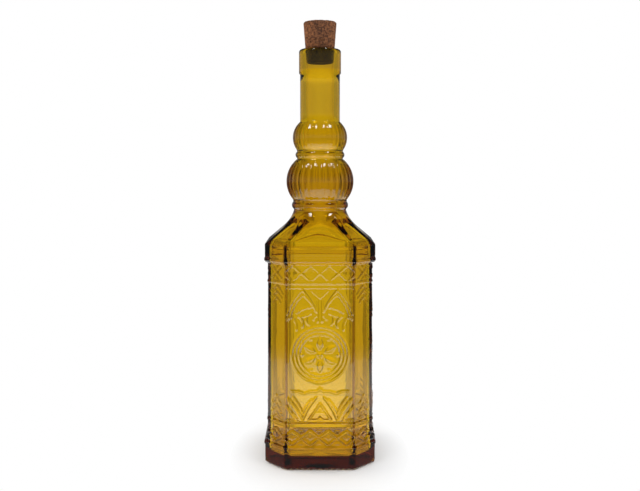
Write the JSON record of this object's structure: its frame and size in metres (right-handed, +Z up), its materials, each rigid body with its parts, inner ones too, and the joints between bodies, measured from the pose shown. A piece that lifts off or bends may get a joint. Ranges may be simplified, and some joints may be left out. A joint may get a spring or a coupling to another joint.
{
  "type": "decorative glass bottle",
  "caption": "Tall square amber glass bottle with cut corners, pressed ornament, a fluted bulb neck and a tapered cork stopper.",
  "frame": {"origin": "centre of the bottle's base, on the surface that it stands on", "axes": "+Z up along the neck, -Y out of the front face, +X to the right seen from the front"},
  "size_m": [0.0824, 0.0824, 0.3243],
  "materials": {
    "amber_glass": "clear amber pressed glass, smooth and glossy",
    "cork": "ground cork, matt, with dark pits"
  },
  "bodies": {
    "root": {"bottle": "amber_glass", "cork": "cork"}
  },
  "joints": []
}
